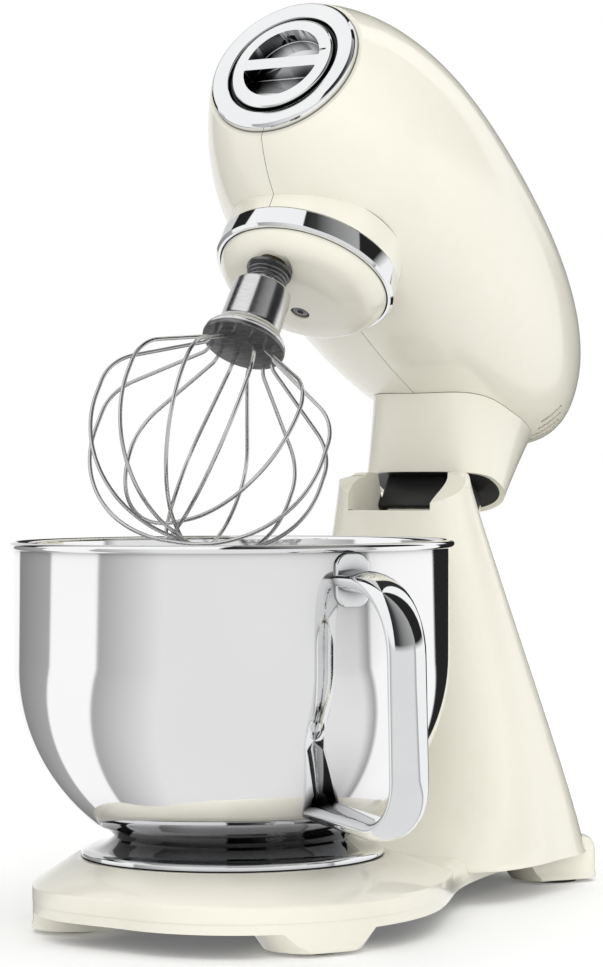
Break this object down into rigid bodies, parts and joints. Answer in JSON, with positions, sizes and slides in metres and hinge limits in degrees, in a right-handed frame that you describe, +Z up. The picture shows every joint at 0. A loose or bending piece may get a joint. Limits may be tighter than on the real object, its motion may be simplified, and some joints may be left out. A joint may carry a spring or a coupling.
{
  "type": "stand mixer",
  "caption": "Tilt-head stand mixer with its head raised: cream body, chrome trim, steel bowl with side handle and a balloon whisk on a planetary drive.",
  "frame": {"origin": "on the worktop, under the axis of the bowl", "axes": "+Z up, -Y towards the front hub, +X on the side of the bowl handle"},
  "size_m": [0.2613, 0.4389, 0.4789],
  "materials": {
    "cream_paint": "gloss",
    "chrome": "polished",
    "polished_steel": "polished",
    "whisk_wire": "polished",
    "dark_steel": "satin",
    "bright_steel": "satin",
    "cast_aluminium": "satin",
    "bronze": "satin",
    "black_plastic": "matte",
    "rubber": "matte"
  },
  "bodies": {
    "stand": {"stand_casting": "cream_paint", "base_cover": "black_plastic", "cover_screws": "bright_steel", "foot_front_left": "rubber", "foot_front_right": "rubber", "foot_rear_left": "rubber", "foot_rear_right": "rubber", "cord_inlet": "black_plastic", "bowl_seat": "bright_steel", "seat_screws": "bright_steel", "hinge_pin": "bright_steel", "hinge_bush_left": "bronze", "hinge_bush_right": "bronze", "column_liner": "black_plastic"},
    "release": {"release_button": "chrome"},
    "mixing_bowl": {"bowl": "polished_steel", "bowl_foot": "chrome", "bowl_handle": "chrome"},
    "head": {"head_shell_left": "cream_paint", "head_shell_right": "cream_paint", "hub_bezel": "chrome", "hub_seal": "black_plastic", "hub_socket": "cast_aluminium", "neck": "cream_paint", "neck_cover": "black_plastic", "neck_cover_screws": "bright_steel", "speed_trim": "chrome", "trim_ring": "chrome", "gearbox_plate": "cast_aluminium", "plate_screws": "bright_steel", "ring_gear": "bright_steel", "carrier_bearing": "bright_steel", "motor_plate": "cast_aluminium", "motor_can": "bright_steel", "control_board": "black_plastic"},
    "cap": {"hub_cap": "chrome"},
    "lever": {"speed_lever": "chrome"},
    "carrier": {"planet_cover": "cream_paint", "beater_bush": "bronze", "carrier_shaft": "bright_steel", "carrier_gear": "bright_steel"},
    "beater": {"beater_shaft": "bright_steel", "cross_pin": "polished_steel", "planet_pinion": "bright_steel", "spring_washer": "dark_steel", "beater_spring": "dark_steel"},
    "whisk": {"whisk_ferrule": "polished_steel", "whisk_plate": "dark_steel", "whisk_wire_1": "whisk_wire", "whisk_wire_2": "whisk_wire", "whisk_wire_3": "whisk_wire", "whisk_wire_4": "whisk_wire", "whisk_wire_5": "whisk_wire", "whisk_wire_6": "whisk_wire"},
    "idler": {"idler_gear": "bright_steel"},
    "rotor": {"motor_rotor": "bright_steel", "motor_fan": "black_plastic"}
  },
  "joints": [
    {"name": "head_tilt", "type": "hinge", "parent": "stand", "child": "head", "pos_m": [0, 0.185, 0.168], "axis": [1, 0, 0], "range_deg": [0, 33.3]},
    {"name": "carrier_spin", "type": "hinge", "parent": "head", "child": "carrier", "pos_m": [0, 0.0754, 0.3381], "axis": [0, 0.549, 0.8358], "continuous": true},
    {"name": "beater_spin", "type": "hinge", "parent": "carrier", "child": "beater", "pos_m": [0, 0.03934, 0.33786], "axis": [0, 0.549, 0.8358], "continuous": true},
    {"name": "idler_spin", "type": "hinge", "parent": "head", "child": "idler", "pos_m": [0, 0.13013, 0.34403], "axis": [0, 0.549, 0.8358], "continuous": true},
    {"name": "motor_spin", "type": "hinge", "parent": "head", "child": "rotor", "pos_m": [0, 0.17228, 0.34625], "axis": [0, 0.549, 0.8358], "continuous": true},
    {"name": "whisk_push", "type": "slide", "parent": "beater", "child": "whisk", "axis": [0, 0.549, 0.8358], "range_m": [0, 0.006], "stiffness_N_per_m": 900, "springref_m": -0.004, "deforming": ["beater_spring"]},
    {"name": "speed_select", "type": "slide", "parent": "head", "child": "lever", "axis": [0, 0.8358, -0.549], "range_m": [0, 0.04]},
    {"name": "hub_cap_turn", "type": "hinge", "parent": "head", "child": "cap", "pos_m": [0, 0.05472, 0.44142], "axis": [0, -0.8358, 0.549], "range_deg": [0, 45]},
    {"name": "bowl_lock", "type": "hinge", "parent": "stand", "child": "mixing_bowl", "pos_m": [0, 0, 0.0387], "axis": [0, 0, 1], "range_deg": [0, 45]},
    {"name": "release_press", "type": "slide", "parent": "stand", "child": "release", "axis": [0, -1, 0], "range_m": [0, 0.004], "stiffness_N_per_m": 900, "springref_m": -0.002}
  ],
  "couplings": [
    {"joint": "beater_spin", "follows": "carrier_spin", "ratio": -4.125},
    {"joint": "idler_spin", "follows": "carrier_spin", "ratio": -3},
    {"joint": "motor_spin", "follows": "carrier_spin", "ratio": 9}
  ]
}
